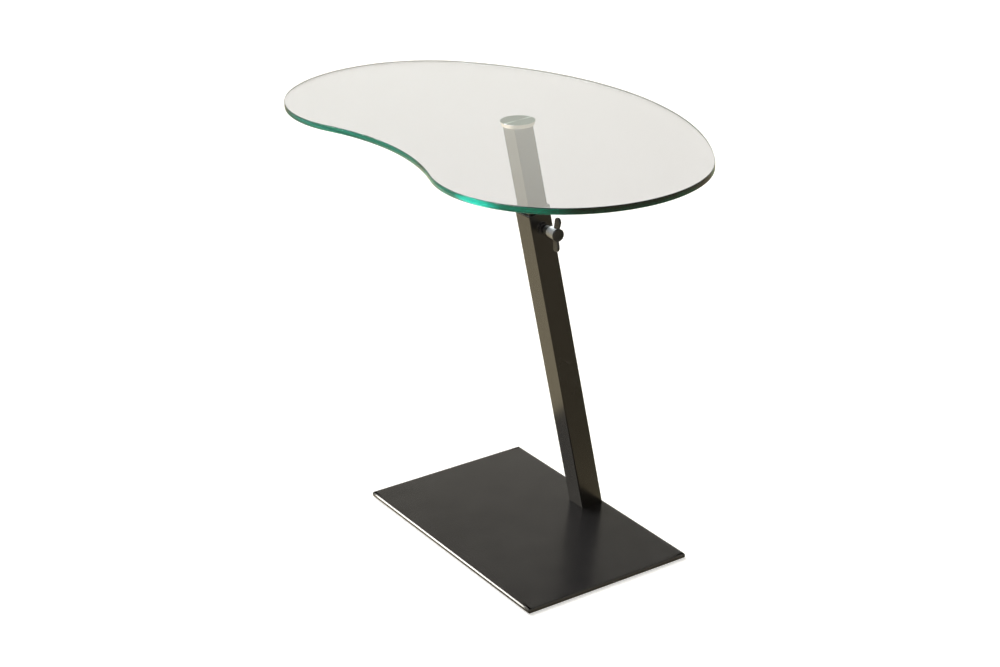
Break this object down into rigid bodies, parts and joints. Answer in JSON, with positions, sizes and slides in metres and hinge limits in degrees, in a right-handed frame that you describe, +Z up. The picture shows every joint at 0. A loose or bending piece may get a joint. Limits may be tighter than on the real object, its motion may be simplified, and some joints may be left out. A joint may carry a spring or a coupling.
{
  "type": "height-adjustable side table",
  "caption": "Side table with a kidney-shaped clear glass top that swivels on a leaning square telescopic post, clamped by a wing knob, on a flat rectangular base plate.",
  "frame": {"origin": "on the floor under the middle of the glass top's width and depth", "axes": "+X to the knob's side, along the long side; +Y to the back, where the post stands; +Z up; the front edge of the glass has the notch"},
  "size_m": [0.75, 0.4249, 0.618],
  "materials": {
    "clear_glass": "clear glass with polished edges, green seen through the edge",
    "adhesive_film": "clear cured adhesive",
    "black_coat": "satin black powder coat",
    "black_nylon": "matt black",
    "zinc_steel": "zinc plated",
    "turned_disc": "turned face with a polished rim",
    "bright_hub": "satin bright metal",
    "black_steel": "blackened steel",
    "dark_grip": "half gloss dark grey",
    "black_rubber": "matt"
  },
  "bodies": {
    "base": {"base_plate": "black_coat", "floor_pads": "black_rubber", "outer_tube": "black_coat", "foot_plate": "zinc_steel", "foot_screws": "zinc_steel", "mouth_guide": "black_nylon", "clamp_boss": "black_coat"},
    "mast": {"inner_tube": "black_coat", "guide_shoe": "black_nylon", "head_plate": "black_coat", "swivel_washer": "black_nylon"},
    "top": {"glass_top": "clear_glass", "bond_film": "adhesive_film", "glass_disc": "turned_disc", "pivot_bolt": "zinc_steel", "spring_washer": "zinc_steel"},
    "press": {"pressure_pad": "black_nylon"},
    "knob": {"clamp_screw": "black_steel", "knob_hub": "bright_hub", "wing_grip": "dark_grip"}
  },
  "joints": [
    {"name": "height_slide", "type": "slide", "parent": "base", "child": "mast", "axis": [0, -0.1719, 0.9851], "range_m": [-0.112, 0.148]},
    {"name": "top_swivel", "type": "hinge", "parent": "mast", "child": "top", "pos_m": [0, 0.017, 0.6028], "axis": [0, 0, 1], "continuous": true},
    {"name": "clamp_travel", "type": "slide", "parent": "base", "child": "press", "axis": [1, 0, 0], "range_m": [0, 0.0025]},
    {"name": "clamp_turn", "type": "hinge", "parent": "press", "child": "knob", "pos_m": [0.018, 0.04155, 0.46214], "axis": [1, 0, 0], "range_deg": [0, 720]}
  ],
  "couplings": [
    {"joint": "clamp_turn", "follows": "clamp_travel", "rad_per_m": 5026.5}
  ]
}
